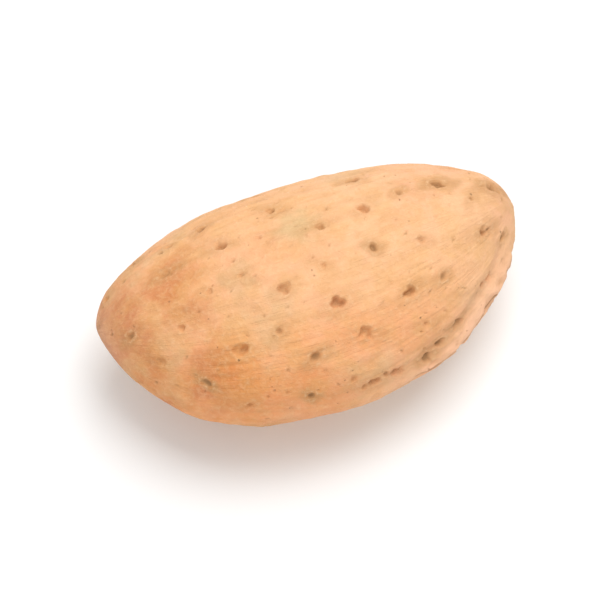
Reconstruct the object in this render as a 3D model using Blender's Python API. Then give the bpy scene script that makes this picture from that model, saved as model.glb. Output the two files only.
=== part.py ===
"""An almond in its shell, lying on its broad side on a small flat spot.

The shell is one closed solid. It starts as a unit sphere, whose directions are carried to the
almond's outline, and its keel, seam, pits, furrows and stem scar are raised from that surface.
Metres, +Z up. The tip points to -X, the stem end to +X and the keeled belly to -Y.
The origin is the lowest point, on the small flat spot that the almond rests on.
"""

import math
import random

import bmesh
import bpy
from mathutils import Matrix, Vector, kdtree, noise

MM = 0.001

# Body, from the tip at station 0 to the stem end at station 1
LENGTH = 35.8 * MM
BACK_REACH = 7.3 * MM
BELLY_REACH = 13.0 * MM
UPPER_HEIGHT = 7.5 * MM
LOWER_HEIGHT = 7.0 * MM

# How fast each outline falls away to the tip and to the stem end: 0.5 is round, more is pointed
BACK_POWERS = (0.49, 0.48)
BELLY_POWERS = (0.54, 0.63)
UPPER_POWERS = (0.55, 0.52)
LOWER_POWERS = (0.52, 0.58)
BACK_EDGE_SHARPNESS = 0.16
BELLY_EDGE_SHARPNESS = 0.06

# The spot it rests on is cut this far above the lowest point
RESTING_CUT = 0.15 * MM
RESTING_CLEARANCE = 3.6 * MM
RESTING_CALM = (4.0 * MM, 9.0 * MM)

# Keel along the belly, with a groove on each side of it, and the finer ridge along the back
KEEL_HEIGHT = 0.62 * MM
KEEL_HALF_WIDTH = 0.95 * MM
GROOVE_DEPTH = 0.30 * MM
GROOVE_OFFSET = 1.9 * MM
GROOVE_HALF_WIDTH = 0.6 * MM
BACK_RIDGE_HEIGHT = 0.22 * MM
BACK_RIDGE_HALF_WIDTH = 0.55 * MM
BACK_RIDGE_RUNS = (0.2, 0.8)
SEAM_WAVE = 0.25 * MM
SEAM_WAVES = 1.1
KEEL_AT_TIP = 0.22
KEEL_GROWS = (0.45, 0.8)
KEEL_RUNS = (0.1, 0.9)
EDGE_WRAP = 0.5

# Point at the tip, and the scar where the stem came away
NIB_LENGTH = 0.18 * MM
NIB_SPREAD = 0.16
SCAR_DIRECTION = Vector((0.975, -0.19, -0.10)).normalized()
SCAR_RADIUS = 1.45 * MM
SCAR_DEPTH = 0.50 * MM
SCAR_LIP = 0.12 * MM
SCAR_WALL = (0.35, 1.0)
SCAR_LIP_AT = 1.05
SCAR_LIP_HALF_WIDTH = 0.3
SCAR_REACH = 1.4

# Natural unevenness, which fades out to both ends
SWELL_HEIGHT = 0.34 * MM
SWELL_SIZE = 8.5 * MM
LESSER_SWELL = 0.5
LESSER_SWELL_SIZE = SWELL_SIZE / 2.1
FURROW_DEPTH = 0.11 * MM
FURROW_TURNS = 7.5
FURROW_STATIONS = 5.0
FURROW_LEVEL = 0.25
UNEVEN_RUNS = (0.12, 0.92)

# Pits
PIT_SEED = 17
PIT_DARTS = 4000
PIT_SPACING = 4.45 * MM
PIT_ROOM = (0.62, 1.35)
PIT_RADIUS = 0.52 * MM
PIT_SIZES = (0.7, 1.4)
PIT_DEPTHS = (0.5, 0.85)
PIT_WALL = (0.22, 1.12)
PIT_REACH = 1.3
PIT_STRETCH = (1.0, 1.5)
PIT_TURN = 0.4
SEAM_MARGIN = 1.2 * MM
TIP_MARGIN = 0.02
SCAR_MARGIN = 0.42
SLIT_SEED = 5
SLIT_STEP = 3.1 * MM
SLIT_RADIUS = 0.48 * MM
SLIT_STRETCH = (1.5, 2.3)
SLIT_TURN = 0.15
SLIT_STATIONS = (0.52, 0.94)
SLIT_OFFSETS = (0.9, 1.25)
SLIT_SIZES = (0.65, 1.1)
SLIT_ROOM = (0.7, 1.4)
SLIT_DEPTH = 0.75
SLIT_START = 0.02
SLIT_HIGHEST = 0.8

# Finish
SHELL_TAN = (0.78, 0.50, 0.28, 1.0)
SHELL_ROUGHNESS = 0.7

# Fineness of the faceted skin, and the step over the unit sphere that slopes are measured by
CELL_CUTS = (21, 12, 8)
SHORT_STEP = 0.01
REFINEMENTS = (0.70 * MM, 0.25 * MM)
EDGE_BAND = 2.4 * MM
EDGE_START = -6 * MM


def smooth_step(low, high, value):
    """0 below low, 1 above high, and a smooth rise between them."""
    share = min(max((value - low) / (high - low), 0.0), 1.0)
    return share * share * (3 - 2 * share)


def bump(distance, half_width):
    """1 at no distance, falling smoothly to nothing past two half widths."""
    return math.exp(-((distance / half_width) ** 2))


def swell(station, reach, powers):
    """An outline that rises from nothing at the tip to reach, and falls to nothing at the stem end."""
    to_tip, to_base = powers
    widest = to_tip / (to_tip + to_base)
    peak = widest**to_tip * (1 - widest) ** to_base
    return reach * station**to_tip * (1 - station) ** to_base / peak


def resting_point():
    """The point of the smooth body that becomes the origin: under its fullest part, above the resting cut."""
    station = LOWER_POWERS[0] / (LOWER_POWERS[0] + LOWER_POWERS[1])
    back = swell(station, BACK_REACH, BACK_POWERS)
    belly = swell(station, BELLY_REACH, BELLY_POWERS)
    return Vector((LENGTH * station, (back - belly) / 2, RESTING_CUT - LOWER_HEIGHT))


def seam_height(station):
    """Height of the seam's gently waving line above the body's middle plane."""
    return SEAM_WAVE * math.sin(2 * math.pi * SEAM_WAVES * station) * math.sin(math.pi * station)


def place_of(direction):
    """Station along the almond, and the direction round its section: across and up."""
    station = min(max((1 + direction.x) / 2, 0.0), 1.0)
    ring = max(math.hypot(direction.y, direction.z), 1e-9)
    return station, direction.y / ring, direction.z / ring


def on_body(direction):
    """The point of the smooth body that a direction from the middle of the sphere is carried to."""
    station, across, up = place_of(direction)
    back = swell(station, BACK_REACH, BACK_POWERS)
    belly = swell(station, BELLY_REACH, BELLY_POWERS)
    height = swell(station, UPPER_HEIGHT, UPPER_POWERS)
    if up < 0:
        height = swell(station, LOWER_HEIGHT, LOWER_POWERS)
    back_share = (1 + across) / 2
    sharpness = BELLY_EDGE_SHARPNESS + (BACK_EDGE_SHARPNESS - BELLY_EDGE_SHARPNESS) * back_share
    point = Vector(
        (
            LENGTH * station,
            (back - belly) / 2 + (back + belly) / 2 * across,
            height * up * abs(up) ** sharpness + seam_height(station),
        )
    )
    return point - resting_point()


def along_body(direction):
    """Unit tangent from the tip towards the stem end, at the point that a direction is carried to."""
    turned = (direction + Vector((SHORT_STEP, 0, 0))).normalized()
    tangent = on_body(turned) - on_body(direction)
    return tangent.normalized() if tangent.length > 0 else Vector((1, 0, 0))


def outward(direction):
    """Unit normal of the smooth body, from two short steps along it."""
    side = direction.orthogonal().normalized() * SHORT_STEP
    other = direction.cross(side)
    first = on_body((direction + side).normalized()) - on_body((direction - side).normalized())
    second = on_body((direction + other).normalized()) - on_body((direction - other).normalized())
    normal = first.cross(second)
    return normal.normalized() if normal.length > 0 else direction.copy()


def between(limits, share):
    """The value that lies this share of the way from the first limit to the second."""
    return limits[0] + (limits[1] - limits[0]) * share


class Pit:
    """One hollow in the shell: a bowl, longer one way than the other."""

    def __init__(self, direction, radius, stretch, turn, depth):
        self.direction = direction
        self.centre = on_body(direction)
        normal = outward(direction)
        along = along_body(direction)
        along = (along - normal * along.dot(normal)).normalized()
        self.along = Matrix.Rotation(turn, 3, normal) @ along
        self.across = normal.cross(self.along)
        self.length = radius * stretch
        self.width = radius
        self.reach = PIT_REACH * self.length
        self.depth = depth

    def hollow(self, point):
        """How far this pit lowers a point of the surface."""
        offset = point - self.centre
        apart = math.hypot(offset.dot(self.along) / self.length, offset.dot(self.across) / self.width)
        return self.depth * (1 - smooth_step(*PIT_WALL, apart))


def random_direction(rng):
    """A direction drawn evenly over the sphere."""
    x = rng.uniform(-1, 1)
    turn = rng.uniform(0, 2 * math.pi)
    ring = math.sqrt(1 - x * x)
    return Vector((x, ring * math.cos(turn), ring * math.sin(turn)))


def bears_pits(direction, point):
    """Pits keep off the seam, the point, the scar and the spot that the almond rests on."""
    station = place_of(direction)[0]
    off_seam = abs(point.z + resting_point().z - seam_height(station)) > SEAM_MARGIN
    off_ends = station > TIP_MARGIN and (direction - SCAR_DIRECTION).length > SCAR_MARGIN
    off_rest = point.z > RESTING_CUT * 2 and point.length > RESTING_CLEARANCE
    return off_seam and off_ends and off_rest


def scattered_pits():
    """Pits thrown at random over the shell, each kept if it lies clear of those before it."""
    rng = random.Random(PIT_SEED)
    kept = []
    for _ in range(PIT_DARTS):
        direction = random_direction(rng)
        room = PIT_SPACING * rng.uniform(*PIT_ROOM)
        size = rng.random() ** 2
        stretch = rng.uniform(*PIT_STRETCH)
        turn = rng.gauss(0.0, PIT_TURN)
        point = on_body(direction)
        crowded = any((point - pit.centre).length < room for pit in kept)
        if crowded or not bears_pits(direction, point):
            continue
        radius = PIT_RADIUS * between(PIT_SIZES, size)
        kept.append(Pit(direction, radius, stretch, turn, radius * between(PIT_DEPTHS, size)))
    return kept


def seam_slits():
    """Long narrow pits in the groove on each side of the keel."""
    rng = random.Random(SLIT_SEED)
    kept = []
    first, last = SLIT_STATIONS
    for side in (1, -1):
        station = first + SLIT_START * rng.random()
        while station < last:
            lift = GROOVE_OFFSET * rng.uniform(*SLIT_OFFSETS)
            height = swell(station, UPPER_HEIGHT, UPPER_POWERS)
            up = side * min(lift / height, SLIT_HIGHEST)
            ring = math.sqrt(1 - (2 * station - 1) ** 2)
            direction = Vector((2 * station - 1, -ring * math.sqrt(1 - up * up), ring * up))
            radius = SLIT_RADIUS * rng.uniform(*SLIT_SIZES)
            stretch = rng.uniform(*SLIT_STRETCH)
            kept.append(Pit(direction, radius, stretch, rng.gauss(0.0, SLIT_TURN), radius * SLIT_DEPTH))
            station += SLIT_STEP / LENGTH * rng.uniform(*SLIT_ROOM)
    return kept


def within(runs, station):
    """1 between the two stations, falling smoothly to 0 at the tip and the stem end."""
    return smooth_step(0.0, runs[0], station) * smooth_step(1.0, runs[1], station)


def edge_relief(station, across, seam_offset):
    """The keel and its grooves on the belly, or the low ridge on the back."""
    if across > 0:
        grown = within(BACK_RIDGE_RUNS, station) * smooth_step(0.0, EDGE_WRAP, across)
        return BACK_RIDGE_HEIGHT * grown * bump(seam_offset, BACK_RIDGE_HALF_WIDTH)
    grown = KEEL_AT_TIP + (1 - KEEL_AT_TIP) * smooth_step(*KEEL_GROWS, station)
    grown *= within(KEEL_RUNS, station) * smooth_step(0.0, EDGE_WRAP, -across)
    groove = bump(abs(seam_offset) - GROOVE_OFFSET, GROOVE_HALF_WIDTH)
    return grown * (KEEL_HEIGHT * bump(seam_offset, KEEL_HALF_WIDTH) - GROOVE_DEPTH * groove)


def end_relief(direction, point, scar_centre):
    """The point at the tip, and the hollow with its raised lip at the stem end."""
    nib = NIB_LENGTH * bump((direction - Vector((-1, 0, 0))).length, NIB_SPREAD)
    apart = (point - scar_centre).length / SCAR_RADIUS
    lip = SCAR_LIP * bump(apart - SCAR_LIP_AT, SCAR_LIP_HALF_WIDTH)
    return nib + lip - SCAR_DEPTH * (1 - smooth_step(*SCAR_WALL, apart))


def uneven_relief(station, across, up, point):
    """Broad swellings, and furrows that run from the tip to the stem end."""
    broad = noise.noise(point / SWELL_SIZE) + LESSER_SWELL * noise.noise(point / LESSER_SWELL_SIZE)
    place = Vector((FURROW_STATIONS * station, FURROW_TURNS * across, FURROW_TURNS * up))
    furrow = abs(noise.noise(place)) - FURROW_LEVEL
    fade = within(UNEVEN_RUNS, station) * smooth_step(*RESTING_CALM, point.length)
    return SWELL_HEIGHT * broad * fade + FURROW_DEPTH * furrow * fade


def unit_sphere():
    """A block of even cells puffed out to a sphere, with more cells along the almond than across it."""
    bm = bmesh.new()
    bmesh.ops.create_cube(bm, size=2.0)
    for axis, cuts in enumerate(CELL_CUTS):
        runs = [e for e in bm.edges if abs(e.verts[0].co[axis] - e.verts[1].co[axis]) > 1.9]
        bmesh.ops.subdivide_edges(bm, edges=runs, cuts=cuts, use_grid_fill=True)
    for vertex in bm.verts:
        vertex.co = Vector([math.tan(c * math.pi / 4) for c in vertex.co]).normalized()
    bmesh.ops.triangulate(bm, faces=bm.faces)
    return bm


def tree_of(points):
    """A search tree of points, for finding those near a pit."""
    points = list(points)
    tree = kdtree.KDTree(len(points))
    for index, point in enumerate(points):
        tree.insert(point, index)
    tree.balance()
    return tree


def refine(bm, pits, margin, with_edge):
    """Splits the faces near a pit or the scar, and near the keel, so that their forms have enough facets."""
    centres = [on_body(face.calc_center_median().normalized()) for face in bm.faces]
    tree = tree_of(centres)
    near = set()
    spots = [(pit.centre, pit.length) for pit in pits]
    spots.append((on_body(SCAR_DIRECTION), SCAR_RADIUS * SCAR_REACH))
    for centre, reach in spots:
        near.update(index for _, index, _ in tree.find_range(centre, reach + margin))
    if with_edge:
        middle = -resting_point().z
        near.update(i for i, c in enumerate(centres) if c.y < EDGE_START and abs(c.z - middle) < EDGE_BAND)
    bm.faces.ensure_lookup_table()
    edges = {edge for index in near for edge in bm.faces[index].edges}
    bmesh.ops.subdivide_edges(bm, edges=list(edges), cuts=1)
    bmesh.ops.triangulate(bm, faces=[face for face in bm.faces if len(face.verts) > 3])
    for vertex in bm.verts:
        vertex.co.normalize()


def raise_shell(bm, pits):
    """Carries the sphere to the almond's body and raises or sinks every form from it.

    The point nearest each pit is moved to its middle, and edges that run badly are turned first.
    """
    directions = [vertex.co.copy() for vertex in bm.verts]
    tree = tree_of(on_body(direction) for direction in directions)
    for pit in pits:
        directions[tree.find(pit.centre)[1]] = pit.direction
    smooth_points = [on_body(direction) for direction in directions]
    normals = [outward(direction) for direction in directions]
    for vertex, point in zip(bm.verts, smooth_points):
        vertex.co = point
    bmesh.ops.beautify_fill(bm, faces=bm.faces, edges=bm.edges, method="ANGLE")
    scar_centre = on_body(SCAR_DIRECTION)
    tree = tree_of(smooth_points)
    hollows = [0.0] * len(smooth_points)
    for pit in pits:
        for _, index, _ in tree.find_range(pit.centre, pit.reach):
            hollows[index] = max(hollows[index], pit.hollow(smooth_points[index]))
    for index, vertex in enumerate(bm.verts):
        direction, point = directions[index], smooth_points[index]
        station, across, up = place_of(direction)
        seam_offset = point.z + resting_point().z - seam_height(station)
        relief = edge_relief(station, across, seam_offset) + end_relief(direction, point, scar_centre)
        relief += uneven_relief(station, across, up, point) - hollows[index]
        vertex.co = point + normals[index] * relief
        vertex.co.z = max(vertex.co.z, 0.0)


def shell_material():
    """Dry, matt, pale tan shell."""
    material = bpy.data.materials.new("almond_shell")
    material.use_nodes = True
    shader = material.node_tree.nodes["Principled BSDF"]
    shader.inputs["Base Color"].default_value = SHELL_TAN
    shader.inputs["Roughness"].default_value = SHELL_ROUGHNESS
    shader.inputs["Metallic"].default_value = 0.0
    return material


def almond():
    """The whole shell, as one object."""
    pits = scattered_pits() + seam_slits()
    bm = unit_sphere()
    for level, margin in enumerate(REFINEMENTS):
        refine(bm, pits, margin, with_edge=level == 0)
    raise_shell(bm, pits)
    bmesh.ops.recalc_face_normals(bm, faces=bm.faces)
    mesh = bpy.data.meshes.new("almond")
    bm.to_mesh(mesh)
    bm.free()
    mesh.shade_smooth()
    mesh.materials.append(shell_material())
    shell = bpy.data.objects.new("almond", mesh)
    bpy.context.scene.collection.objects.link(shell)
    return shell


for old in list(bpy.data.objects):
    bpy.data.objects.remove(old)
almond()
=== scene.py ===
"""An almond in its shell, lying on its broad side: the finished look of its dry, pitted skin.

The fine shell is raised from the same outline and the same pits as the plain solid it replaces. It then
gets the small forms of the real shell: wrinkles, fibres, a cracked seam, a torn stem scar and dents.
Metres, +Z up. The tip points to -X, the stem end to +X and the keeled belly to -Y.
"""

import math
import random

import bmesh
import bpy
import numpy as np
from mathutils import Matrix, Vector, noise


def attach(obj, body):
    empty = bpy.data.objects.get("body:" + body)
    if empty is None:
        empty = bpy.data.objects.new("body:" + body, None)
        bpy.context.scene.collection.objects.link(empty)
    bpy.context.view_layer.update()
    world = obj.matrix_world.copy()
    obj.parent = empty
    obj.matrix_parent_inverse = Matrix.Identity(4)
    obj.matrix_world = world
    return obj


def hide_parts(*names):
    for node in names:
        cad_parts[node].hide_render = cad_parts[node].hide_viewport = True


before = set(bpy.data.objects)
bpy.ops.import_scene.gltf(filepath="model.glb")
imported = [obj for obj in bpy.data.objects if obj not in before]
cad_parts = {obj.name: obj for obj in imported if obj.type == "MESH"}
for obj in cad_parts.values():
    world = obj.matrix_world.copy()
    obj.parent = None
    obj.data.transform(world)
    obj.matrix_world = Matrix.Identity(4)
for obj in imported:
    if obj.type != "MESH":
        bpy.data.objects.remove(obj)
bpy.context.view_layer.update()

MM = 0.001

# Body, from the tip at station 0 to the stem end at station 1
LENGTH = 35.8 * MM
BACK_REACH = 7.3 * MM
BELLY_REACH = 13.0 * MM
UPPER_HEIGHT = 7.5 * MM
LOWER_HEIGHT = 7.0 * MM
BACK_POWERS = (0.49, 0.48)
BELLY_POWERS = (0.54, 0.63)
UPPER_POWERS = (0.55, 0.52)
LOWER_POWERS = (0.52, 0.58)
BACK_EDGE_SHARPNESS = 0.16
BELLY_EDGE_SHARPNESS = 0.06

# The spot it rests on, and the calm skin round it
RESTING_CUT = 0.15 * MM
RESTING_CLEARANCE = 3.6 * MM
RESTING_CALM = (4.0 * MM, 9.0 * MM)

# Keel, grooves, back ridge and the cracked line between the two halves
KEEL_HEIGHT = 0.62 * MM
KEEL_HALF_WIDTH = 0.95 * MM
KEEL_PALE_HALF_WIDTH = 1.9 * MM
# The darkening of the grooves is painted shade in them
GROOVE_SHADE = 0.2
GROOVE_DEPTH = 0.30 * MM
GROOVE_OFFSET = 1.9 * MM
GROOVE_HALF_WIDTH = 0.6 * MM
BACK_RIDGE_HEIGHT = 0.22 * MM
BACK_RIDGE_HALF_WIDTH = 0.55 * MM
BACK_RIDGE_RUNS = (0.2, 0.8)
BACK_RIDGE_PALE = 0.6
SEAM_WAVE = 0.25 * MM
SEAM_WAVES = 1.1
KEEL_AT_TIP = 0.22
KEEL_GROWS = (0.45, 0.8)
KEEL_RUNS = (0.1, 0.9)
EDGE_WRAP = 0.5
NOTCH_DEPTH = 0.26 * MM
NOTCH_SIZE = 1.1 * MM
NOTCH_EDGE = (0.02, 0.30)
# The darkening of the keel's notches is painted shade in them
NOTCH_SHADE = 0.7
CRACK_DEPTH = 0.16 * MM
CRACK_HALF_WIDTH = 0.13 * MM
CRACK_WANDER = 0.22 * MM
CRACK_WANDER_SIZE = 2.4 * MM
CRACK_BREAK_SIZE = 2.2 * CRACK_WANDER_SIZE
CRACK_BREAKS = (-0.15, 0.25)

# Tip and stem scar, whose wall, lip and edges are in shares of its radius
NIB_LENGTH = 0.18 * MM
NIB_SPREAD = 0.16
# The tip's pale point: partly its paler colour, partly a painted highlight
PALE_POINT_AND_HIGHLIGHT = 0.7
PALE_POINT_SPREAD = 0.30
SCAR_DIRECTION = np.array(Vector((0.975, -0.19, -0.10)).normalized())
SCAR_RADIUS = 1.45 * MM
SCAR_DEPTH = 0.50 * MM
SCAR_LIP = 0.12 * MM
SCAR_WALL = (0.35, 1.0)
SCAR_COLOURED = (0.55, 1.20)
SCAR_LIP_AT = 1.05
SCAR_LIP_HALF_WIDTH = 0.3
SCAR_RAGGED = 0.45
SCAR_RAGGED_SIZE = 0.8 * MM
SCAR_RAGGED_FROM = (0.3, 0.9)
SCAR_FIBRE_HEIGHT = 0.20 * MM
SCAR_FIBRE_SIZE = 0.45 * MM
SCAR_HOLES = 6
SCAR_HOLES_RING = 0.13
SCAR_HOLE_SHIFT = 0.3
SCAR_HOLE_OUT = (0.75, 1.2)
SCAR_HOLE_RADIUS = 0.17 * MM
SCAR_HOLE_SIZES = (0.7, 1.3)
SCAR_HOLE_STRETCH = (1.0, 1.5)
SCAR_HOLE_TONE = 0.9
SCAR_FINE_REACH = 1.3

# Unevenness, from broad swellings down to fine wrinkles, which fades out to both ends
SWELL_HEIGHT = 0.34 * MM
SWELL_SIZE = 8.5 * MM
LESSER_SWELL = 0.5
LESSER_SWELL_SIZE = SWELL_SIZE / 2.1
FURROW_DEPTH = 0.11 * MM
FURROW_TURNS = 7.5
FURROW_STATIONS = 5.0
FURROW_LEVEL = 0.25
FURROW_BOTTOM = (0.0, -0.22)
# The darkening of the furrow bottoms is painted shade
FURROW_SHADE = 0.4
UNEVEN_RUNS = (0.12, 0.92)
WRINKLE_DEPTH = 0.085 * MM
WRINKLE_TURNS = 21.0
WRINKLE_STATIONS = 9.0
WRINKLE_PATCH_SIZE = 5.5 * MM
WRINKLE_PATCHES = (-0.3, 0.4)
LUMP_HEIGHT = 0.055 * MM
LUMP_SIZE = 1.1 * MM

# Where in the noise each form is read, so that no two of them fall together
NOTCHES_AT = 31.0
CRACK_BREAKS_AT = 7.0
WRINKLES_AT = 3.0
LUMPS_AT = 11.0
WRINKLE_PATCHES_AT = 23.0

# Pits, as in the solid, and the edge that each really has, in shares of its own size
PIT_SEED = 17
PIT_DARTS = 4000
PIT_SPACING = 4.45 * MM
PIT_ROOM = (0.62, 1.35)
PIT_RADIUS = 0.52 * MM
PIT_SIZES = (0.7, 1.4)
PIT_SIZES_POWER = 2
PIT_DEPTHS = (0.5, 0.85)
PIT_STRETCH = (1.0, 1.5)
PIT_TURN = 0.4
SEAM_MARGIN = 1.2 * MM
TIP_MARGIN = 0.02
SCAR_MARGIN = 0.42
SLIT_SEED = 5
SLIT_STEP = 3.1 * MM
SLIT_RADIUS = 0.48 * MM
SLIT_STRETCH = (1.5, 2.3)
SLIT_TURN = 0.15
SLIT_STATIONS = (0.52, 0.94)
SLIT_OFFSETS = (0.9, 1.25)
SLIT_SIZES = (0.65, 1.1)
SLIT_ROOM = (0.7, 1.4)
SLIT_DEPTH = 0.75
SLIT_START = 0.02
SLIT_HIGHEST = 0.8
SLIT_TONES = (0.12, 0.85)
FINE_PIT_DEEPER = 1.15
FINE_PIT_WALL = (0.15, 0.92)
PIT_RAGGED = 0.55
PIT_RAGGED_SIZE = 0.50 * MM
PIT_RIM = 0.02 * MM
PIT_TONE_SEED = 63
PIT_TONES = (0.22, 1.0)
PIT_TONES_POWER = 1.5
RIM_AT = 1.15
RIM_HALF_WIDTH = 0.22
HOLLOW_REACH = 2.8
TAIL_SHARE = 0.30
TAIL_HALF_WIDTH = 0.42
TAIL_RUNS = (2.6, 0.7)
STAIN_REACH = (0.8, 2.2)
STAIN_LENGTHENED = 1.6
STAIN_PATCH_SIZE = 0.9 * MM
STAIN_RAGGED = 0.7

# The one greenish smudge on the upper side
SMUDGE_STATION = 0.48
SMUDGE_ACROSS = 0.34
SMUDGE_RADIUS = 2.3 * MM
SMUDGE_EDGE = (0.2, 1.1)
SMUDGE_RAGGED = 0.5

# Shallow dents and pinholes between the pits
DENT_SEED = 29
DENT_DARTS = 1500
DENT_ROOM = 1.9 * MM
DENT_RADII = (0.22 * MM, 0.62 * MM)
DENT_DEPTH = 0.18
DENT_TONES = (0.0, 0.32)
DENT_WALL = (0.0, 1.0)
DENT_RAGGED = 0.3
PINHOLE_SEED = 41
PINHOLE_DARTS = 900
PINHOLE_ROOM = 1.3 * MM
PINHOLE_RADII = (0.10 * MM, 0.20 * MM)
PINHOLE_DEPTH = 0.9
PINHOLE_TONES = (0.25, 0.75)
PINHOLE_WALL = (0.2, 1.0)
PINHOLE_RAGGED = 0.1
SMALL_SIZES_POWER = 1.6
SMALL_STRETCH = (1.0, 1.9)
SMALL_TURN = 0.6
SMALL_CLEARANCE = 1.5

# Fineness of the skin, and the steps that its normals and the grain are read with
BLOCK_SIZE = 2.0
CELL_CUTS = (139, 80, 58)
FINE_MARGIN = 0.35 * MM
SHORT_STEP = 0.004
STEP_AHEAD = 0.01
NEAR_THE_ENDS = 0.7
LEAST_LENGTH = 1e-12
LEAST_RING = 1e-9

# What the mesh keeps at each point for the material to read, besides the grain
MASKS = ("pit", "rim", "stain", "crack", "ridge", "scar", "furrow", "smudge")


def smooth_step(low, high, value):
    """0 below low, 1 above high, and a smooth rise between them."""
    share = np.clip((value - low) / (high - low), 0.0, 1.0)
    return share * share * (3 - 2 * share)


def bump(distance, half_width):
    """1 at no distance, falling smoothly to nothing past two half widths."""
    return np.exp(-((distance / half_width) ** 2))


def noise_at(places):
    """Smooth noise between -1 and 1 at each of many places."""
    return np.array([noise.noise(place) for place in places.tolist()])


def lengths(vectors):
    """The length of each of many vectors."""
    return np.linalg.norm(vectors, axis=1)


def units(vectors):
    """Each of many vectors, made one long."""
    return vectors / np.maximum(lengths(vectors), LEAST_LENGTH)[:, None]


def swell(station, reach, powers):
    """An outline that rises from nothing at the tip to reach, and falls to nothing at the stem end."""
    to_tip, to_base = powers
    widest = to_tip / (to_tip + to_base)
    peak = widest**to_tip * (1 - widest) ** to_base
    return reach * station**to_tip * (1 - station) ** to_base / peak


def resting_point():
    """The point that becomes the origin: under the body's fullest part, as high as the resting cut."""
    station = LOWER_POWERS[0] / (LOWER_POWERS[0] + LOWER_POWERS[1])
    back = swell(station, BACK_REACH, BACK_POWERS)
    belly = swell(station, BELLY_REACH, BELLY_POWERS)
    return np.array((LENGTH * station, (back - belly) / 2, RESTING_CUT - LOWER_HEIGHT))


def seam_height(station):
    """Height of the seam's gently waving line above the body's middle plane."""
    return SEAM_WAVE * np.sin(2 * math.pi * SEAM_WAVES * station) * np.sin(math.pi * station)


def places_of(directions):
    """For each direction: station along the almond, and the way round its section, across and up."""
    station = np.clip((1 + directions[:, 0]) / 2, 0.0, 1.0)
    ring = np.maximum(np.hypot(directions[:, 1], directions[:, 2]), LEAST_RING)
    return station, directions[:, 1] / ring, directions[:, 2] / ring


def on_body(directions):
    """The point of the smooth body that each direction from the middle of a sphere is carried to."""
    station, across, up = places_of(directions)
    back = swell(station, BACK_REACH, BACK_POWERS)
    belly = swell(station, BELLY_REACH, BELLY_POWERS)
    upper = swell(station, UPPER_HEIGHT, UPPER_POWERS)
    lower = swell(station, LOWER_HEIGHT, LOWER_POWERS)
    back_share = (1 + across) / 2
    sharpness = BELLY_EDGE_SHARPNESS + (BACK_EDGE_SHARPNESS - BELLY_EDGE_SHARPNESS) * back_share
    height = np.where(up < 0, lower, upper) * up * np.abs(up) ** sharpness
    x = LENGTH * station
    y = (back - belly) / 2 + (back + belly) / 2 * across
    return np.stack((x, y, height + seam_height(station)), axis=1) - resting_point()


def outward(directions):
    """Unit normal of the smooth body at each direction, from short steps along it."""
    near_ends = np.abs(directions[:, :1]) > NEAR_THE_ENDS
    level = np.where(near_ends, np.array([[0.0, 1.0, 0.0]]), np.array([[1.0, 0.0, 0.0]]))
    side = units(np.cross(directions, level)) * SHORT_STEP
    other = np.cross(directions, side)
    first = on_body(units(directions + side)) - on_body(units(directions - side))
    second = on_body(units(directions + other)) - on_body(units(directions - other))
    return units(np.cross(first, second))


def between(limits, share):
    """The value that lies this share of the way from the first limit to the second."""
    return limits[0] + (limits[1] - limits[0]) * share


class Hollow:
    """A pit, slit, dent or pinhole: a bowl, longer one way than the other, and how dark it is."""

    def __init__(self, direction, radius, stretch, turn, depth, tone):
        directions = np.array([direction])
        ahead = units(directions + np.array([[STEP_AHEAD, 0.0, 0.0]]))
        self.centre = on_body(directions)[0]
        self.normal = outward(directions)[0]
        along = (on_body(ahead) - on_body(directions))[0]
        along = along - self.normal * along.dot(self.normal)
        along = along / max(np.linalg.norm(along), LEAST_LENGTH)
        across = np.cross(self.normal, along)
        self.along = along * math.cos(turn) + across * math.sin(turn)
        self.across = np.cross(self.normal, self.along)
        self.length = radius * stretch
        self.width = radius
        self.depth = depth
        self.tone = tone

    def ways(self, points):
        """How far each point is from the middle, along and across, where 1 is the hollow's edge."""
        offset = points - self.centre
        return offset @ self.along / self.length, offset @ self.across / self.width

    def near(self, points, reach):
        """The numbers of the points closer to the middle than this many times the hollow's length."""
        box = np.abs(points - self.centre).max(axis=1) < reach * self.length
        return np.nonzero(box)[0]


def random_direction(rng):
    """A direction drawn evenly over the sphere."""
    x = rng.uniform(-1, 1)
    turn = rng.uniform(0, 2 * math.pi)
    ring = math.sqrt(1 - x * x)
    return np.array((x, ring * math.cos(turn), ring * math.sin(turn)))


def bears_pits(direction, point):
    """Pits keep off the seam, the point, the scar and the spot that the almond rests on."""
    station = (1 + direction[0]) / 2
    off_seam = abs(point[2] + resting_point()[2] - seam_height(station)) > SEAM_MARGIN
    off_ends = station > TIP_MARGIN and np.linalg.norm(direction - SCAR_DIRECTION) > SCAR_MARGIN
    off_rest = point[2] > RESTING_CUT * 2 and np.linalg.norm(point) > RESTING_CLEARANCE
    return off_seam and off_ends and off_rest


def scattered_pits():
    """The solid's pits: thrown at random over the shell, each kept if it lies clear of those before it."""
    rng = random.Random(PIT_SEED)
    tones = random.Random(PIT_TONE_SEED)
    kept = []
    for _ in range(PIT_DARTS):
        direction = random_direction(rng)
        room = PIT_SPACING * rng.uniform(*PIT_ROOM)
        size = rng.random() ** PIT_SIZES_POWER
        stretch = rng.uniform(*PIT_STRETCH)
        turn = rng.gauss(0.0, PIT_TURN)
        point = on_body(np.array([direction]))[0]
        crowded = any(np.linalg.norm(point - pit.centre) < room for pit in kept)
        if crowded or not bears_pits(direction, point):
            continue
        radius = PIT_RADIUS * between(PIT_SIZES, size)
        depth = radius * between(PIT_DEPTHS, size) * FINE_PIT_DEEPER
        tone = between(PIT_TONES, tones.random() ** PIT_TONES_POWER)
        kept.append(Hollow(direction, radius, stretch, turn, depth, tone))
    return kept


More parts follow.
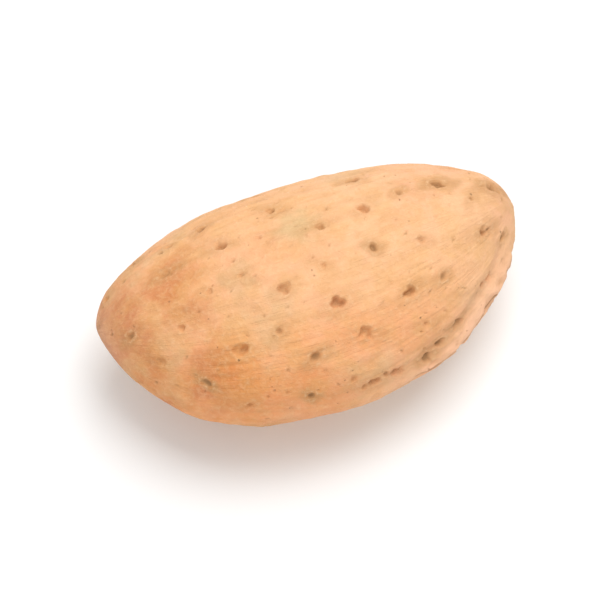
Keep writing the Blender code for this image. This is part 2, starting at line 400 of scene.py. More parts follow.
def seam_slits():
    """The solid's long narrow pits in the groove on each side of the keel."""
    rng = random.Random(SLIT_SEED)
    tones = random.Random(PIT_TONE_SEED)
    kept = []
    first, last = SLIT_STATIONS
    for side in (1, -1):
        station = first + SLIT_START * rng.random()
        while station < last:
            lift = GROOVE_OFFSET * rng.uniform(*SLIT_OFFSETS)
            height = swell(station, UPPER_HEIGHT, UPPER_POWERS)
            up = side * min(lift / height, SLIT_HIGHEST)
            ring = math.sqrt(1 - (2 * station - 1) ** 2)
            direction = np.array((2 * station - 1, -ring * math.sqrt(1 - up * up), ring * up))
            radius = SLIT_RADIUS * rng.uniform(*SLIT_SIZES)
            stretch = rng.uniform(*SLIT_STRETCH)
            depth = radius * SLIT_DEPTH * FINE_PIT_DEEPER
            turn = rng.gauss(0.0, SLIT_TURN)
            kept.append(Hollow(direction, radius, stretch, turn, depth, tones.uniform(*SLIT_TONES)))
            station += SLIT_STEP / LENGTH * rng.uniform(*SLIT_ROOM)
    return kept


def small_hollows(seed, darts, room, radii, depth_share, tones, taken):
    """Dents or pinholes scattered between the hollows that are there already."""
    rng = random.Random(seed)
    kept = []
    for _ in range(darts):
        direction = random_direction(rng)
        share = rng.random() ** SMALL_SIZES_POWER
        stretch = rng.uniform(*SMALL_STRETCH)
        turn = rng.gauss(0.0, SMALL_TURN)
        tone = rng.uniform(*tones)
        point = on_body(np.array([direction]))[0]
        radius = between(radii, share)
        apart = [np.linalg.norm(point - other.centre) - other.length for other in taken]
        own = [np.linalg.norm(point - other.centre) for other in kept]
        crowded = min(apart) < radius * SMALL_CLEARANCE or (own and min(own) < room)
        if crowded or point[2] < RESTING_CUT * 2:
            continue
        kept.append(Hollow(direction, radius, stretch, turn, radius * depth_share, tone))
    return kept


def scar_holes():
    """A ring of small holes in the scar, where the stem's vessels went in, and one in the middle."""
    rng = random.Random(SCAR_HOLES)
    side = units(np.cross(SCAR_DIRECTION[None], [[0.0, 0.0, 1.0]]))[0]
    other = np.cross(SCAR_DIRECTION, side)
    kept = []
    for number in range(SCAR_HOLES + 1):
        turn = 2 * math.pi * (number + rng.uniform(-SCAR_HOLE_SHIFT, SCAR_HOLE_SHIFT)) / SCAR_HOLES
        out = SCAR_HOLES_RING * rng.uniform(*SCAR_HOLE_OUT) * (number < SCAR_HOLES)
        shift = out * (side * math.cos(turn) + other * math.sin(turn))
        direction = units((SCAR_DIRECTION + shift)[None])[0]
        radius = SCAR_HOLE_RADIUS * rng.uniform(*SCAR_HOLE_SIZES)
        stretch = rng.uniform(*SCAR_HOLE_STRETCH)
        kept.append(Hollow(direction, radius, stretch, turn, radius, SCAR_HOLE_TONE))
    return kept


def unit_sphere():
    """A block of even cells puffed out to a sphere, with more cells along the almond than across it."""
    bm = bmesh.new()
    bmesh.ops.create_cube(bm, size=BLOCK_SIZE)
    whole = 0.95 * BLOCK_SIZE
    for axis, cuts in enumerate(CELL_CUTS):
        runs = [e for e in bm.edges if abs(e.verts[0].co[axis] - e.verts[1].co[axis]) > whole]
        bmesh.ops.subdivide_edges(bm, edges=runs, cuts=cuts, use_grid_fill=True)
    for vertex in bm.verts:
        vertex.co = Vector([math.tan(c * math.pi / 4) for c in vertex.co]).normalized()
    return bm


def directions_of(bm):
    """The unit direction of each vertex of the sphere."""
    return units(np.array([vertex.co[:] for vertex in bm.verts]))


def refine(bm, hollows):
    """Splits the cells in and near the deeper hollows, so that their walls are finely cut."""
    points = on_body(directions_of(bm))
    inside = np.zeros(len(points), bool)
    for hollow in hollows:
        inside |= lengths(points - hollow.centre) < hollow.length + FINE_MARGIN
    inside |= lengths(points - on_body(SCAR_DIRECTION[None])[0]) < SCAR_RADIUS * SCAR_FINE_REACH
    edges = [e for e in bm.edges if inside[e.verts[0].index] or inside[e.verts[1].index]]
    bmesh.ops.subdivide_edges(bm, edges=edges, cuts=1, use_grid_fill=True)
    bmesh.ops.triangulate(bm, faces=[face for face in bm.faces if len(face.verts) > 4])
    bm.verts.index_update()


class Skin:
    """The shell's surface as arrays: where each point is, and what lies there."""

    def __init__(self, bm):
        self.directions = directions_of(bm)
        self.smooth = on_body(self.directions)
        self.normals = outward(self.directions)
        self.station, self.across, self.up = places_of(self.directions)
        self.relief = np.zeros(len(self.smooth))
        for name in MASKS:
            setattr(self, name, np.zeros(len(self.smooth)))
        self.offset = self.smooth[:, 2] + resting_point()[2] - seam_height(self.station)

    def within(self, runs):
        """1 between the two stations, falling smoothly to 0 at the tip and the stem end."""
        return smooth_step(0.0, runs[0], self.station) * smooth_step(1.0, runs[1], self.station)


def raise_edges(skin):
    """The low ridge on the back, and the notched keel on the belly with a groove on each side of it."""
    back_grown = skin.within(BACK_RIDGE_RUNS) * smooth_step(0.0, EDGE_WRAP, skin.across)
    back = BACK_RIDGE_HEIGHT * back_grown * bump(skin.offset, BACK_RIDGE_HALF_WIDTH)
    keel_grown = KEEL_AT_TIP + (1 - KEEL_AT_TIP) * smooth_step(*KEEL_GROWS, skin.station)
    keel_grown *= skin.within(KEEL_RUNS) * smooth_step(0.0, EDGE_WRAP, -skin.across)
    keel = bump(skin.offset, KEEL_HALF_WIDTH)
    pale = bump(skin.offset, KEEL_PALE_HALF_WIDTH)
    groove = bump(np.abs(skin.offset) - GROOVE_OFFSET, GROOVE_HALF_WIDTH)
    notched = smooth_step(*NOTCH_EDGE, noise_at(skin.smooth / NOTCH_SIZE + NOTCHES_AT))
    belly = keel_grown * ((KEEL_HEIGHT - NOTCH_DEPTH * notched) * keel - GROOVE_DEPTH * groove)
    on_back = skin.across > 0
    skin.relief += np.where(on_back, back, belly)
    # The pale keel band and back ridge: partly the keel's paler colour, partly painted light that lifts
    # the keel where it turns away from the lamp
    keel_pale_and_lit = keel_grown * pale * (1 - NOTCH_SHADE * notched * keel)
    skin.ridge = np.where(on_back, BACK_RIDGE_PALE * back_grown * keel, keel_pale_and_lit)
    # Grooves and the keel's notches darkened: painted shade
    belly_shade = keel_grown * np.maximum(GROOVE_SHADE * groove, notched * keel)
    skin.furrow = np.where(on_back, 0.0, belly_shade)
    open_seam(skin, np.where(on_back, back_grown, keel_grown), on_back)


def open_seam(skin, grown, on_back):
    """The thin crack between the two halves, which wanders and closes up here and there."""
    wander = CRACK_WANDER * noise_at(skin.smooth / CRACK_WANDER_SIZE)
    broken = smooth_step(*CRACK_BREAKS, noise_at(skin.smooth / CRACK_BREAK_SIZE + CRACK_BREAKS_AT))
    line = bump(skin.offset - wander, CRACK_HALF_WIDTH) * grown * np.where(on_back, broken, 1.0)
    skin.relief -= CRACK_DEPTH * line
    # The crack's line is kept for the material, which darkens it: partly brown, partly painted shade
    skin.crack = np.maximum(skin.crack, line)


def raise_ends(skin):
    """The point at the tip, and the ragged fibrous hollow where the stem came away."""
    from_tip = lengths(skin.directions + np.array([1.0, 0.0, 0.0]))
    nib = NIB_LENGTH * bump(from_tip, NIB_SPREAD)
    apart = lengths(skin.smooth - on_body(SCAR_DIRECTION[None])[0]) / SCAR_RADIUS
    ragged = SCAR_RAGGED * noise_at(skin.smooth / SCAR_RAGGED_SIZE)
    torn = apart + ragged * smooth_step(*SCAR_RAGGED_FROM, apart)
    skin.scar = 1 - smooth_step(*SCAR_COLOURED, torn)
    fibres = np.abs(noise_at(skin.smooth / SCAR_FIBRE_SIZE)) * skin.scar
    # The pale point at the tip: partly its paler colour, partly a painted highlight
    skin.ridge = np.maximum(skin.ridge, PALE_POINT_AND_HIGHLIGHT * bump(from_tip, PALE_POINT_SPREAD))
    skin.relief += nib + SCAR_LIP * bump(torn - SCAR_LIP_AT, SCAR_LIP_HALF_WIDTH)
    skin.relief -= SCAR_DEPTH * (1 - smooth_step(*SCAR_WALL, torn)) - SCAR_FIBRE_HEIGHT * fibres


def raise_unevenness(skin):
    """Broad swellings, furrows from the tip to the stem end, then wrinkles and small lumps."""
    fade = skin.within(UNEVEN_RUNS) * smooth_step(*RESTING_CALM, lengths(skin.smooth))
    broad = noise_at(skin.smooth / SWELL_SIZE) + LESSER_SWELL * noise_at(skin.smooth / LESSER_SWELL_SIZE)
    ways = np.stack((skin.station, skin.across, skin.up), axis=1)
    furrow = np.abs(noise_at(ways * (FURROW_STATIONS, FURROW_TURNS, FURROW_TURNS))) - FURROW_LEVEL
    wrinkle_ways = ways * (WRINKLE_STATIONS, WRINKLE_TURNS, WRINKLE_TURNS)
    wrinkle = 1 - 2 * np.abs(noise_at(wrinkle_ways + WRINKLES_AT))
    lumps = noise_at(skin.smooth / LUMP_SIZE + LUMPS_AT)
    patches = noise_at(skin.smooth / WRINKLE_PATCH_SIZE + WRINKLE_PATCHES_AT)
    patchy = smooth_step(*WRINKLE_PATCHES, patches)
    skin.relief += (SWELL_HEIGHT * broad + FURROW_DEPTH * furrow) * fade
    skin.relief += (WRINKLE_DEPTH * wrinkle * patchy + LUMP_HEIGHT * lumps) * fade
    # The furrow bottoms darkened: painted shade
    browned = FURROW_SHADE * smooth_step(*FURROW_BOTTOM, furrow) * fade
    skin.furrow = np.maximum(skin.furrow, browned)


def sink_hollows(skin, hollows, wall, ragged_share, tail_share=0.0):
    """Lowers the skin in each hollow and in its tail along the grain, and notes how dark it is."""
    depths = np.zeros(len(skin.smooth))
    for hollow in hollows:
        near = hollow.near(skin.smooth, HOLLOW_REACH)
        points = skin.smooth[near]
        along, across = hollow.ways(points)
        apart = np.hypot(along, across) + ragged_share * noise_at(points / PIT_RAGGED_SIZE)
        sunk = 1 - smooth_step(*wall, apart)
        runs_out = smooth_step(*TAIL_RUNS, np.abs(along))
        tail = tail_share * hollow.tone * bump(across, TAIL_HALF_WIDTH) * runs_out
        depths[near] = np.maximum(depths[near], hollow.depth * np.maximum(sunk, tail))
        skin.rim[near] = np.maximum(skin.rim[near], hollow.tone * bump(apart - RIM_AT, RIM_HALF_WIDTH))
        skin.pit[near] = np.maximum(skin.pit[near], hollow.tone * np.maximum(sunk, tail))
    skin.relief += PIT_RIM * skin.rim * (depths == 0) - depths


def stain_round(skin, hollows):
    """Notes the browner skin round each pit, longer along the grain than across it."""
    for hollow in hollows:
        near = hollow.near(skin.smooth, STAIN_REACH[1] * STAIN_LENGTHENED)
        points = skin.smooth[near]
        along, across = hollow.ways(points)
        ragged = STAIN_RAGGED * noise_at(points / STAIN_PATCH_SIZE)
        apart = np.hypot(along / STAIN_LENGTHENED, across) + ragged
        browned = hollow.tone * (1 - smooth_step(*STAIN_REACH, apart))
        skin.stain[near] = np.maximum(skin.stain[near], browned)


def smudge(skin):
    """Notes the one greenish smudge on the upper side, soft and uneven at its edge."""
    ring = 2 * math.sqrt(SMUDGE_STATION * (1 - SMUDGE_STATION))
    up = math.sqrt(1 - SMUDGE_ACROSS**2)
    middle = on_body(np.array([[2 * SMUDGE_STATION - 1, ring * SMUDGE_ACROSS, ring * up]]))[0]
    apart = lengths(skin.smooth - middle) / SMUDGE_RADIUS
    ragged = SMUDGE_RAGGED * noise_at(skin.smooth / STAIN_PATCH_SIZE)
    skin.smudge = 1 - smooth_step(*SMUDGE_EDGE, apart + ragged)


def write_masks(mesh, skin):
    """Keeps what lies at each point with the mesh, for the material to read."""
    for name in MASKS:
        mask = mesh.attributes.new(name, "FLOAT", "POINT")
        mask.data.foreach_set("value", getattr(skin, name).astype(np.float32))
    ways = np.stack((skin.station, skin.across, skin.up), axis=1).astype(np.float32)
    grain = mesh.attributes.new("grain", "FLOAT_VECTOR", "POINT")
    grain.data.foreach_set("vector", ways.ravel())


def almond_shell():
    """The whole shell with all its forms, standing for the plain solid."""
    pits = scattered_pits() + seam_slits()
    dents = small_hollows(DENT_SEED, DENT_DARTS, DENT_ROOM, DENT_RADII, DENT_DEPTH, DENT_TONES, pits)
    pinholes = small_hollows(
        PINHOLE_SEED, PINHOLE_DARTS, PINHOLE_ROOM, PINHOLE_RADII, PINHOLE_DEPTH, PINHOLE_TONES, pits
    )
    bm = unit_sphere()
    refine(bm, pits)
    skin = Skin(bm)
    raise_edges(skin)
    raise_ends(skin)
    raise_unevenness(skin)
    sink_hollows(skin, pits, FINE_PIT_WALL, PIT_RAGGED, TAIL_SHARE)
    sink_hollows(skin, dents, DENT_WALL, DENT_RAGGED)
    sink_hollows(skin, pinholes + scar_holes(), PINHOLE_WALL, PINHOLE_RAGGED)
    stain_round(skin, pits + dents)
    smudge(skin)
    placed = skin.smooth + skin.normals * skin.relief[:, None]
    placed[:, 2] = np.maximum(placed[:, 2], 0.0)
    for vertex, place in zip(bm.verts, placed.tolist()):
        vertex.co = place
    bmesh.ops.recalc_face_normals(bm, faces=bm.faces)
    mesh = bpy.data.meshes.new("almond_shell")
    bm.to_mesh(mesh)
    bm.free()
    mesh.shade_smooth()
    write_masks(mesh, skin)
    shell = bpy.data.objects.new("almond_shell", mesh)
    bpy.context.scene.collection.objects.link(shell)
    return shell


# Colours, as linear red, green and blue
PALE_TAN = (0.850, 0.478, 0.254, 1.0)
# The honey, orange and tip tans and the warm tint are partly the shell's own colour and partly painted
# shade and painted orange bounce light, darker and warmer towards the tip and the belly
HONEY_TAN_AND_SHADE = (0.81, 0.405, 0.170, 1.0)
ORANGE_TAN_AND_SHADE = (0.77, 0.285, 0.080, 1.0)
TIP_TAN_AND_SHADE = (0.50, 0.165, 0.045, 1.0)
PINK_TAN = (0.84, 0.400, 0.235, 1.0)
OCHRE = (0.75, 0.420, 0.155, 1.0)
GREY_TAN = (0.60, 0.445, 0.240, 1.0)
GREEN_GREY = (0.58, 0.455, 0.225, 1.0)
WARM_TINT_AND_BOUNCE_LIGHT = (0.98, 0.88, 0.74, 1.0)
# Brown of the fibre streaks, also used for painted shade in the grooves, notches and furrow bottoms
FIBRE_AND_SHADE_BROWN = (0.55, 0.255, 0.100, 1.0)
STAIN_BROWN = (0.52, 0.255, 0.092, 1.0)
# Partly the browner inside of pits and pores, partly painted shade in them
PIT_BROWN_AND_SHADE = (0.40, 0.212, 0.090, 1.0)
# Partly the brown inside of the seam's crack, partly painted shade in it
CRACK_BROWN_AND_SHADE = (0.36, 0.160, 0.066, 1.0)
SCAR_BROWN = (0.50, 0.255, 0.110, 1.0)
SCAR_TAN = (0.72, 0.420, 0.210, 1.0)
# Ridge cream: partly the keel's paler colour, partly painted light; it also paints the tip's pale point,
# partly a painted highlight
RIDGE_CREAM_AND_LIGHT = (0.95, 0.545, 0.345, 1.0)
# Paler pit rims: partly wear, partly a painted highlight on their edges
RIM_CREAM_AND_HIGHLIGHT = (0.92, 0.600, 0.360, 1.0)
DUST = (0.90, 0.600, 0.350, 1.0)
FLOOR_WHITE = (0.86, 0.86, 0.855, 1.0)

# The body's tans: where along the almond, or round it, each one sets in, and how strongly. The darker,
# oranger tans at the tip and the belly are partly the shell's own colour, partly painted shade and painted
# orange bounce light
TAN_UNEVEN = 0.09
HONEY_STATIONS = (0.66, 0.05)
BELLY_WAY_ROUND = (-0.2, -1.0)
BELLY_STATIONS = (0.95, 0.20)
TIP_STATIONS = (0.26, 0.0)
ORANGE_AND_SHADE_SHARE = 0.75

# Patches, fibres and pores: sizes in mm, and how finely the fibres vary along and round the almond
BROAD_PATCH = 7.5
SMALL_PATCH = 1.9
PATCH_SPAN = (0.38, 0.62)
OTHER_PATCH_SPAN = (0.40, 0.64)
OTHER_PATCHES_AT = (0.31, 0.17, 0.43)
POWDER_SCALE = 2600.0
FIBRES_ALONG = 5.0
FIBRES_ROUND = 24.0
FINE_FIBRES_SCALE = 3.7
FIBRE_SHARES = (0.6, 0.4)
FIBRE_SPAN = (0.36, 0.64)
COARSE_PORE_ROOM = 1.5
COARSE_PORE_SIZE = 0.09
FINE_PORE_ROOM = 0.8
FINE_PORE_SIZE = 0.11
FINE_PORE_SHARE = 0.6
LEAST_PORE = 0.0001
PORE_CELLS = (0.45, 1.0)
PORE_EDGE = (1.0, 0.45)

# How strongly each mark covers the tans, and which of the powder's grains it shows in
PINK_SHARE = 0.40
OCHRE_SHARE = 0.38
GREY_SHARE = 0.30
GREY_PATCHES = (0.75, 1.0)
SMUDGE_SHARE = 0.55
STREAK_SHARES = (0.04, 0.20)
FURROW_SHADE_SHARE = 0.38
RIDGE_AND_LIGHT_SHARE = 0.80
STAIN_POWDER = (0.30, 0.65)
STAIN_SHARES = (0.50, 0.90)
DUST_POWDER = (0.40, 0.78)
DUST_SHARES = (0.0, 0.30)
RIM_POWDER = (0.40, 0.68)
RIM_AND_HIGHLIGHT_SHARES = (0.0, 0.38)
PORE_SHARE = 0.50
SCAR_POWDER = (0.34, 0.66)
SCAR_SHARE = 0.80
CRACK_EDGE = (0.1, 0.9)
CRACK_SHARES = (0.0, 0.85)
PIT_SHADE_SHARES = (0.0, 0.95)

# Shine and fine relief
SHELL_ROUGHNESS = 0.72
SHELL_SPECULAR = 0.32
ROUGH_POWDER = (0.3, 0.7)
ROUGHNESS_SPAN = (0.62, 0.86)
POWDER_HEIGHT = 0.8
PORE_DEPTH = 1.2
RELIEF_STRENGTH = 0.9
RELIEF_DISTANCE = 0.17 * MM

# Kinds of socket on a node group
VALUE = "NodeSocketFloat"
VECTOR = "NodeSocketVector"

# Floor, camera and light
FLOOR_REACH = 1.5
FLOOR_ROUGHNESS = 0.9
FLOOR_SPECULAR = 0.2
FLOOR_GAP = 0.02 * MM
UNDERSIDE_LIT = 8 * MM
AIM = Vector((-0.65, 0.05, 7.0)) * MM
AZIMUTH = math.radians(-19.0)
ELEVATION = math.radians(64.0)
LENS = 135.0
SENSOR = 36.0
FRAME_WIDTH = 49.0 * MM
CAMERA_SEES = (0.01, 10.0)
SURROUNDING_WHITE = (1.0, 1.0, 1.0, 1.0)
SURROUNDING_LIGHT = 0.71
LIGHT_SIZE = 0.34
KEY_PLACE = (0.14, 0.12, 0.42)
KEY_POWER = 1.55
FILL_PLACE = (-0.30, -0.30, 0.25)
FILL_POWER = 0.45


def feed(tree, socket, value):
    """Gives an input its value, or links it to the output that feeds it."""
    if isinstance(value, bpy.types.NodeSocket):
        tree.links.new(value, socket)
    else:
        socket.default_value = value


def node(tree, kind, inputs=None, **settings):
    """One shader node with its settings, and the values of its inputs or the outputs that feed them."""
    made = tree.nodes.new(kind)
    for name, value in settings.items():
        setattr(made, name, value)
    for name, value in (inputs or {}).items():
        feed(tree, made.inputs[name], value)
    return made


def blended(tree, share, first, second, kind="MIX"):
    """The second colour over the first, by a share. A Mix node's colours are its inputs 6 and 7."""
    inputs = {0: share, 6: first, 7: second}
    return node(tree, "ShaderNodeMix", inputs, data_type="RGBA", blend_type=kind).outputs[2]


def reckoned(tree, operation, first, second):
    """The result of one sum on two values."""
    made = node(tree, "ShaderNodeMath", {0: first, 1: second}, operation=operation)
    return made.outputs[0]


def weighed(tree, mask, amount):
    """A mask or a height, times an amount."""
    return reckoned(tree, "MULTIPLY", mask, amount)


def spread(tree, value, low, high, to_low=0.0, to_high=1.0):
    """A value carried smoothly from one range to another."""
    inputs = {"Value": value, "From Min": low, "From Max": high, "To Min": to_low, "To Max": to_high}
    return node(tree, "ShaderNodeMapRange", inputs, interpolation_type="SMOOTHSTEP").outputs["Result"]


def stored(tree, name, output="Fac"):
    """What the mesh keeps at each point under this name."""
    return node(tree, "ShaderNodeAttribute", attribute_name=name).outputs[output]


def clouds(tree, place, scale, detail, roughness):
    """Soft noise between 0 and 1."""
    inputs = {"Vector": place, "Scale": scale, "Detail": detail, "Roughness": roughness}
    return node(tree, "ShaderNodeTexNoise", inputs).outputs["Fac"]


def new_group(name, ins, outs):
    """An empty node group with named inputs, each with its first value, and named outputs."""
    group = bpy.data.node_groups.new(name, "ShaderNodeTree")
    for label, kind, value in ins:
        socket = group.interface.new_socket(label, in_out="INPUT", socket_type=kind)
        if value is not None:
            socket.default_value = value
    for label, kind in outs:
        group.interface.new_socket(label, in_out="OUTPUT", socket_type=kind)
    return group, group.nodes.new("NodeGroupInput"), group.nodes.new("NodeGroupOutput")


def fibre_group():
    """Fine woody fibres that run from the tip to the stem end, as streaks and as a height."""
    group, given, out = new_group(
        "woody_fibres",
        [("Ways", VECTOR, None), ("Along", VALUE, FIBRES_ALONG), ("Round", VALUE, FIBRES_ROUND)],
        [("Streaks", VALUE), ("Height", VALUE)],
    )
    along = given.outputs["Along"]
    way_round = given.outputs["Round"]
    stretch = node(group, "ShaderNodeCombineXYZ", {"X": along, "Y": way_round, "Z": way_round})
    multiply = {0: given.outputs["Ways"], 1: stretch.outputs[0]}
    ways = node(group, "ShaderNodeVectorMath", multiply, operation="MULTIPLY").outputs[0]
    broad = weighed(group, clouds(group, ways, 1.0, detail=4.0, roughness=0.6), FIBRE_SHARES[0])
    fine = clouds(group, ways, FINE_FIBRES_SCALE, detail=3.0, roughness=0.65)
    fine = weighed(group, fine, FIBRE_SHARES[1])
    both = reckoned(group, "ADD", broad, fine)
    group.links.new(spread(group, both, *FIBRE_SPAN), out.inputs["Streaks"])
    group.links.new(both, out.inputs["Height"])
    return group


def mottle_group():
    """Soft patches, some mm across, and the finer powdery grain within them."""
    group, given, out = new_group(
        "shell_mottle",
        [("Place", VECTOR, None), ("Patch size mm", VALUE, BROAD_PATCH)],
        [("Patches", VALUE), ("Other patches", VALUE), ("Powder", VALUE)],
    )
    place = given.outputs["Place"]
    scale = reckoned(group, "DIVIDE", 1.0 / MM, given.outputs["Patch size mm"])
    moved = node(group, "ShaderNodeMapping", {"Vector": place, "Location": OTHER_PATCHES_AT})
    first = clouds(group, place, scale, detail=3.0, roughness=0.5)
    second = clouds(group, moved.outputs[0], scale, detail=4.0, roughness=0.6)
    powder = clouds(group, place, POWDER_SCALE, detail=4.0, roughness=0.7)
    group.links.new(spread(group, first, *PATCH_SPAN), out.inputs["Patches"])
    group.links.new(spread(group, second, *OTHER_PATCH_SPAN), out.inputs["Other patches"])
    group.links.new(powder, out.inputs["Powder"])
    return group


def pore_group():
    """Scattered pinprick pores of one size."""
    group, given, out = new_group(
        "pinprick_pores",
        [("Place", VECTOR, None), ("Room mm", VALUE, COARSE_PORE_ROOM), ("Size", VALUE, COARSE_PORE_SIZE)],
        [("Pores", VALUE)],
    )
    scale = reckoned(group, "DIVIDE", 1.0 / MM, given.outputs["Room mm"])
    cells = node(group, "ShaderNodeTexVoronoi", {"Vector": given.outputs["Place"], "Scale": scale})
    shade = node(group, "ShaderNodeSeparateColor", {"Color": cells.outputs["Color"]})
    own_size = spread(group, shade.outputs["Red"], *PORE_CELLS)
    size = reckoned(group, "MULTIPLY", given.outputs["Size"], own_size)
    near = reckoned(group, "LESS_THAN", cells.outputs["Distance"], size)
    edge = reckoned(group, "DIVIDE", cells.outputs["Distance"], reckoned(group, "ADD", size, LEAST_PORE))
    soft = spread(group, edge, *PORE_EDGE)
    group.links.new(reckoned(group, "MULTIPLY", near, soft), out.inputs["Pores"])
    return group


def use_group(tree, group, **inputs):
    """One placed node group; an input's name is given with its spaces as underscores."""
    spaced = {name.replace("_", " "): value for name, value in inputs.items()}
    return node(tree, "ShaderNodeGroup", spaced, node_tree=group).outputs


def new_material(name, roughness, specular):
    """A matt material with nothing linked yet."""
    material = bpy.data.materials.new(name)
    material.use_nodes = True
    shader = material.node_tree.nodes["Principled BSDF"]
    shader.inputs["Roughness"].default_value = roughness
    shader.inputs["Specular IOR Level"].default_value = specular
    return material, material.node_tree, shader


def body_tans_and_shade(tree, ways, patches):
    """The shell's tans, palest at the stem end and the back, and how warm they turn towards the tip and
    the belly: partly the shell's own colour, partly painted shade and painted orange bounce light.
    """
    split = node(tree, "ShaderNodeSeparateXYZ", {"Vector": ways})
    uneven = spread(tree, patches, 0.0, 1.0, -TAN_UNEVEN, TAN_UNEVEN)
    station = reckoned(tree, "ADD", split.outputs["X"], uneven)
    across = reckoned(tree, "ADD", split.outputs["Y"], uneven)
    colour = blended(tree, spread(tree, station, *HONEY_STATIONS), PALE_TAN, HONEY_TAN_AND_SHADE)
    belly_way = spread(tree, across, *BELLY_WAY_ROUND)
    belly = reckoned(tree, "MULTIPLY", belly_way, spread(tree, station, *BELLY_STATIONS))
    tip = spread(tree, station, *TIP_STATIONS)
    # Painted shade and orange bounce light on the belly and a darker painted tip, partly the shell's own
    # warmer colour
    colour = blended(tree, weighed(tree, belly, ORANGE_AND_SHADE_SHARE), colour, ORANGE_TAN_AND_SHADE)
    return blended(tree, tip, colour, TIP_TAN_AND_SHADE), reckoned(tree, "MAXIMUM", belly, tip)


def shell_pores(tree, place, pore_group):
    """The pinprick pores of both sizes."""
    coarse = use_group(tree, pore_group, Place=place, Room_mm=COARSE_PORE_ROOM, Size=COARSE_PORE_SIZE)
    fine = use_group(tree, pore_group, Place=place, Room_mm=FINE_PORE_ROOM, Size=FINE_PORE_SIZE)
    return reckoned(tree, "MAXIMUM", coarse["Pores"], weighed(tree, fine["Pores"], FINE_PORE_SHARE))


def shell_colour(tree, place, ways, groups):
    """The shell's colour: its tans, then patches, fibres and dust, and the marks that its forms leave; the
    tans at the tip and belly, the darkened pits, crack and furrows and the paler ridges and rims are
    partly painted shade and painted light.
    """
    broad = use_group(tree, groups["mottle"], Place=place, Patch_size_mm=BROAD_PATCH)
    small = use_group(tree, groups["mottle"], Place=place, Patch_size_mm=SMALL_PATCH)
    fibres = use_group(tree, groups["fibres"], Ways=ways, Along=FIBRES_ALONG, Round=FIBRES_ROUND)
    powder = small["Powder"]
    colour, warmth_and_shade = body_tans_and_shade(tree, ways, broad["Patches"])
    colour = blended(tree, weighed(tree, broad["Other patches"], PINK_SHARE), colour, PINK_TAN)
    colour = blended(tree, weighed(tree, small["Other patches"], OCHRE_SHARE), colour, OCHRE)
    greyed = reckoned(tree, "MULTIPLY", small["Patches"], spread(tree, broad["Patches"], *GREY_PATCHES))
    colour = blended(tree, weighed(tree, greyed, GREY_SHARE), colour, GREY_TAN)
    colour = blended(tree, weighed(tree, stored(tree, "smudge"), SMUDGE_SHARE), colour, GREEN_GREY)
    # Painted orange bounce light and shade at the tip and the belly, partly the shell's own warmer colour
    colour = blended(tree, warmth_and_shade, colour, WARM_TINT_AND_BOUNCE_LIGHT, "MULTIPLY")
    showing = spread(tree, small["Other patches"], 0.0, 1.0, *STREAK_SHARES)
    colour = blended(tree, reckoned(tree, "MULTIPLY", fibres["Streaks"], showing), colour, FIBRE_AND_SHADE_BROWN)
    # Painted shade in the grooves, the keel's notches and the furrow bottoms
    colour = blended(tree, weighed(tree, stored(tree, "furrow"), FURROW_SHADE_SHARE), colour, FIBRE_AND_SHADE_BROWN)
    # The pale keel, back ridge and tip point: partly their own paler colour, partly painted light and a
    # painted highlight
    colour = blended(tree, weighed(tree, stored(tree, "ridge"), RIDGE_AND_LIGHT_SHARE), colour, RIDGE_CREAM_AND_LIGHT)
    soaked = spread(tree, powder, *STAIN_POWDER, *STAIN_SHARES)
    colour = blended(tree, reckoned(tree, "MULTIPLY", stored(tree, "stain"), soaked), colour, STAIN_BROWN)
    colour = blended(tree, spread(tree, powder, *DUST_POWDER, *DUST_SHARES), colour, DUST)
    # Paler pit rims: partly wear, partly a painted highlight on their edges
    worn_and_lit = spread(tree, powder, *RIM_POWDER, *RIM_AND_HIGHLIGHT_SHARES)
    colour = blended(tree, reckoned(tree, "MULTIPLY", stored(tree, "rim"), worn_and_lit), colour, RIM_CREAM_AND_HIGHLIGHT)
    pores = shell_pores(tree, place, groups["pores"])
    # The pinprick pores darkened: partly their browner inside, partly painted shade
    colour = blended(tree, weighed(tree, pores, PORE_SHARE), colour, PIT_BROWN_AND_SHADE)
    torn = blended(tree, spread(tree, powder, *SCAR_POWDER), SCAR_BROWN, SCAR_TAN)
    colour = blended(tree, weighed(tree, stored(tree, "scar"), SCAR_SHARE), colour, torn)
    # The crack darkened: partly its brown inside, partly painted shade in it
    cracked_and_shaded = spread(tree, stored(tree, "crack"), *CRACK_EDGE, *CRACK_SHARES)
    colour = blended(tree, cracked_and_shaded, colour, CRACK_BROWN_AND_SHADE)
    # Pits, slits, dents and pinholes darkened by their tone: partly their browner inside, partly painted
    # shade in the hollows
    pitted_and_shaded = spread(tree, stored(tree, "pit"), 0.0, 1.0, *PIT_SHADE_SHARES)
    colour = blended(tree, pitted_and_shaded, colour, PIT_BROWN_AND_SHADE)
    return colour, fibres["Height"], powder, pores


def shell_material(groups):
    """Dry, matt, powdery woody shell."""
    material, tree, shader = new_material("almond_shell", SHELL_ROUGHNESS, SHELL_SPECULAR)
    place = node(tree, "ShaderNodeTexCoord").outputs["Object"]
    ways = stored(tree, "grain", "Vector")
    colour, fibres, powder, pores = shell_colour(tree, place, ways, groups)
    tree.links.new(colour, shader.inputs["Base Color"])
    roughness = spread(tree, powder, *ROUGH_POWDER, *ROUGHNESS_SPAN)
    tree.links.new(roughness, shader.inputs["Roughness"])
    height = reckoned(tree, "ADD", fibres, weighed(tree, powder, POWDER_HEIGHT))
    height = reckoned(tree, "SUBTRACT", height, weighed(tree, pores, PORE_DEPTH))
    bumps = {"Height": height, "Strength": RELIEF_STRENGTH, "Distance": RELIEF_DISTANCE}
    relief = node(tree, "ShaderNodeBump", bumps)
    tree.links.new(relief.outputs["Normal"], shader.inputs["Normal"])
    return material


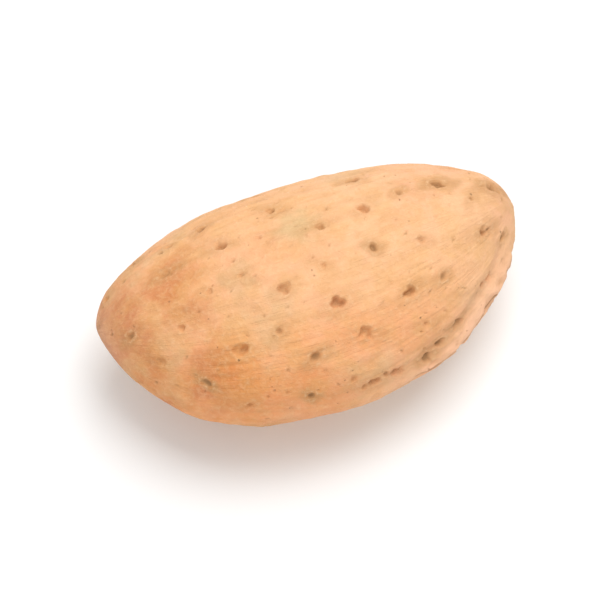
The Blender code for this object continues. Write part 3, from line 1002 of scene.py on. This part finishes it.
def floor():
    """A plain pale floor, seen from above only, which lets light up to the almond's underside close by."""
    bm = bmesh.new()
    bmesh.ops.create_grid(bm, x_segments=1, y_segments=1, size=FLOOR_REACH)
    bmesh.ops.translate(bm, verts=bm.verts, vec=(0.0, 0.0, -FLOOR_GAP))
    mesh = bpy.data.meshes.new("floor")
    bm.to_mesh(mesh)
    bm.free()
    material, tree, shader = new_material("pale_floor", FLOOR_ROUGHNESS, FLOOR_SPECULAR)
    shader.inputs["Base Color"].default_value = FLOOR_WHITE
    clear = node(tree, "ShaderNodeBsdfTransparent")
    behind = node(tree, "ShaderNodeNewGeometry").outputs["Backfacing"]
    ray = node(tree, "ShaderNodeLightPath").outputs
    near = reckoned(tree, "LESS_THAN", ray["Ray Length"], UNDERSIDE_LIT)
    underside = reckoned(tree, "MULTIPLY", ray["Is Diffuse Ray"], near)
    let_through = reckoned(tree, "MAXIMUM", behind, underside)
    both = node(tree, "ShaderNodeMixShader", {0: let_through, 1: shader.outputs[0], 2: clear.outputs[0]})
    tree.links.new(both.outputs[0], tree.nodes["Material Output"].inputs["Surface"])
    mesh.materials.append(material)
    made = bpy.data.objects.new("floor", mesh)
    bpy.context.scene.collection.objects.link(made)


def soft_light(name, place, power):
    """A square soft light, aimed at the almond."""
    data = bpy.data.lights.new(name, "AREA")
    data.size = LIGHT_SIZE
    data.energy = power
    light = bpy.data.objects.new(name, data)
    light.location = place
    light.rotation_euler = (AIM - Vector(place)).to_track_quat("-Z", "Y").to_euler()
    bpy.context.scene.collection.objects.link(light)


def studio():
    """Pale surroundings, a large soft light above and behind to the right, and a weaker one in front."""
    world = bpy.data.worlds.new("studio")
    world.use_nodes = True
    background = world.node_tree.nodes["Background"]
    background.inputs["Color"].default_value = SURROUNDING_WHITE
    background.inputs["Strength"].default_value = SURROUNDING_LIGHT
    bpy.context.scene.world = world
    soft_light("key_light", KEY_PLACE, KEY_POWER)
    soft_light("fill_light", FILL_PLACE, FILL_POWER)


def camera():
    """Looks down on the almond from the side that the photograph shows."""
    data = bpy.data.cameras.new("camera")
    data.lens = LENS
    data.sensor_width = SENSOR
    data.clip_start, data.clip_end = CAMERA_SEES
    made = bpy.data.objects.new("camera", data)
    level = math.cos(ELEVATION)
    back = Vector((math.sin(AZIMUTH) * level, -math.cos(AZIMUTH) * level, math.sin(ELEVATION)))
    made.location = AIM + back * (FRAME_WIDTH * LENS / SENSOR)
    made.rotation_euler = (-back).to_track_quat("-Z", "Y").to_euler()
    bpy.context.scene.collection.objects.link(made)
    bpy.context.scene.camera = made


camera()
studio()
floor()
groups = {"fibres": fibre_group(), "mottle": mottle_group(), "pores": pore_group()}
shell = almond_shell()
shell.data.materials.append(shell_material(groups))
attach(shell, "root")
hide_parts("almond")
bpy.context.scene.view_settings.view_transform = "Standard"
